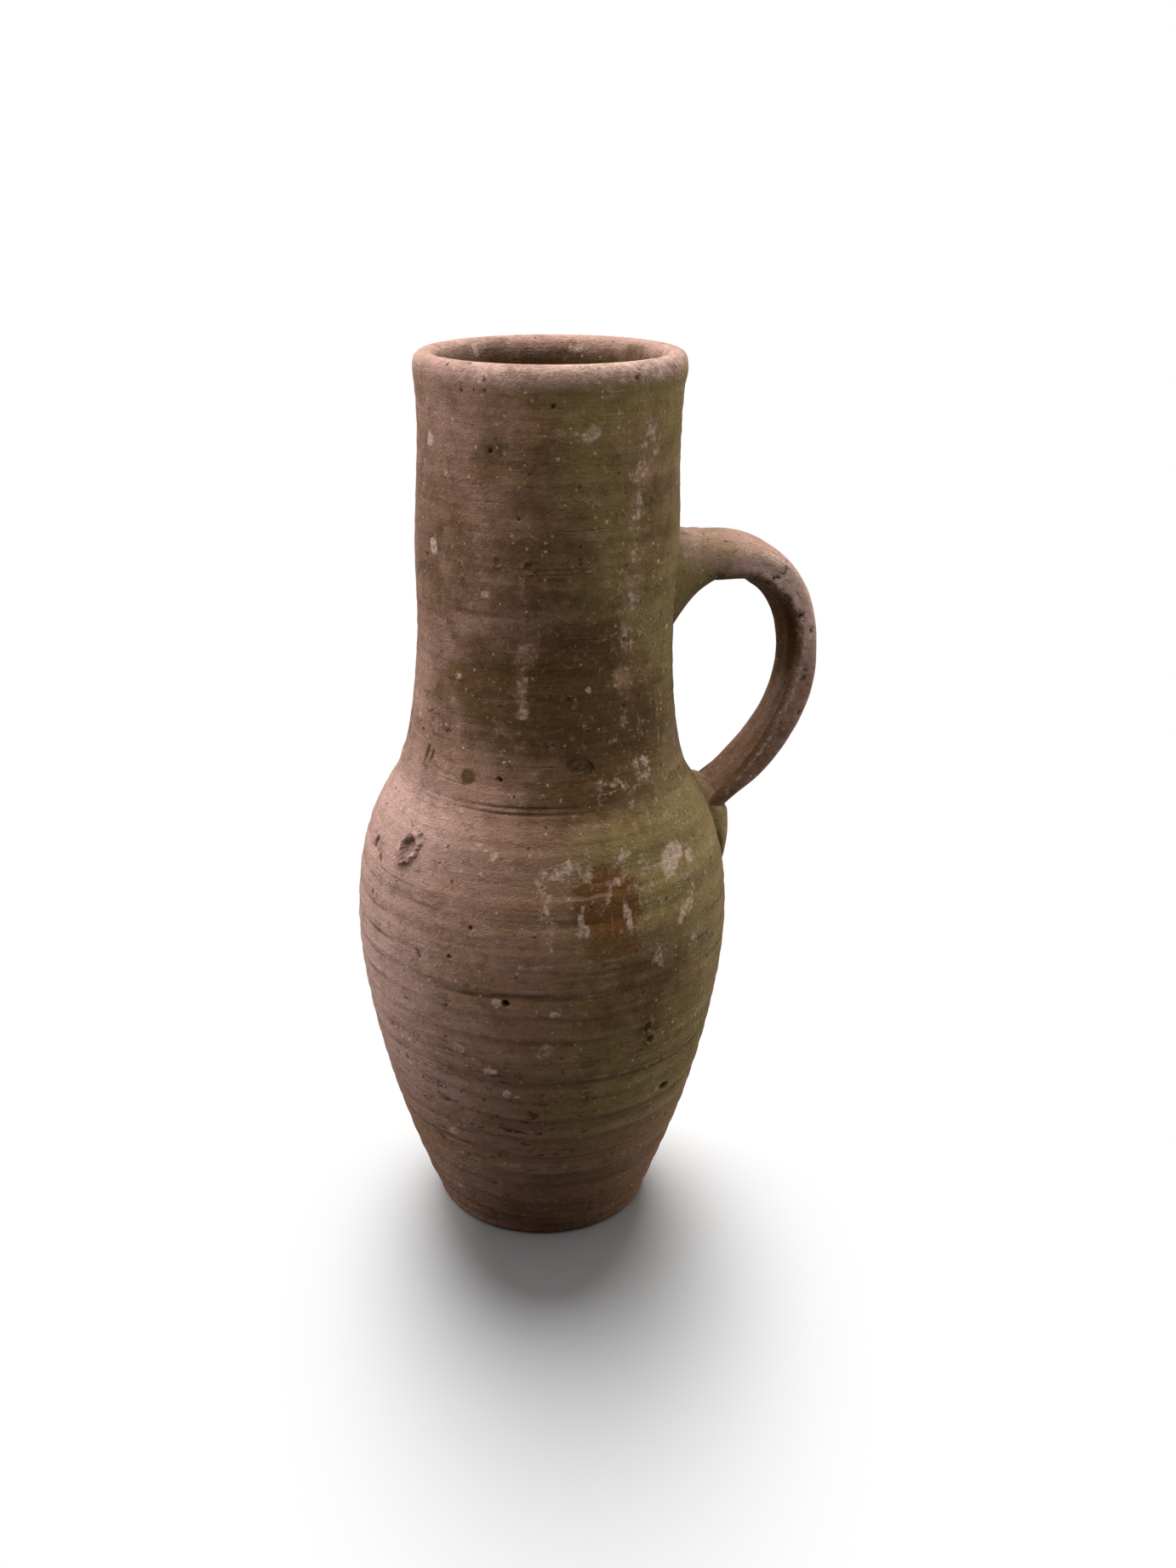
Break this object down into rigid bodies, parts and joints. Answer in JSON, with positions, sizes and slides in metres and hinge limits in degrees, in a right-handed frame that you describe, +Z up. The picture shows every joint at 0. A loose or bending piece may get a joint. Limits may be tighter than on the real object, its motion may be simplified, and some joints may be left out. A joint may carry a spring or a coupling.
{
  "type": "earthenware water jug",
  "caption": "Tall unglazed earthenware jug with a pot belly, wide collar neck, rolled rim and a strap handle, for carrying and pouring water.",
  "frame": {"origin": "centre of the flat foot that the jug stands on", "axes": "+Z up along the axis of the body, +X from the axis towards the handle, +Y to the left of the handle seen from above"},
  "size_m": [0.1756, 0.143, 0.34],
  "materials": {
    "body": "matte unglazed earthenware, pinkish brown with olive staining",
    "neck": "matte unglazed earthenware, pinkish brown with olive staining",
    "neck_slip_ring": "matte fired slip, dark brown",
    "handle": "matte unglazed earthenware, worn paler on top",
    "upper_wad": "matte unglazed earthenware",
    "lower_wad": "matte unglazed earthenware"
  },
  "bodies": {
    "root": {"body": "body", "neck": "neck", "neck_slip_ring": "neck_slip_ring", "handle": "handle", "upper_wad": "upper_wad", "lower_wad": "lower_wad"}
  },
  "joints": []
}
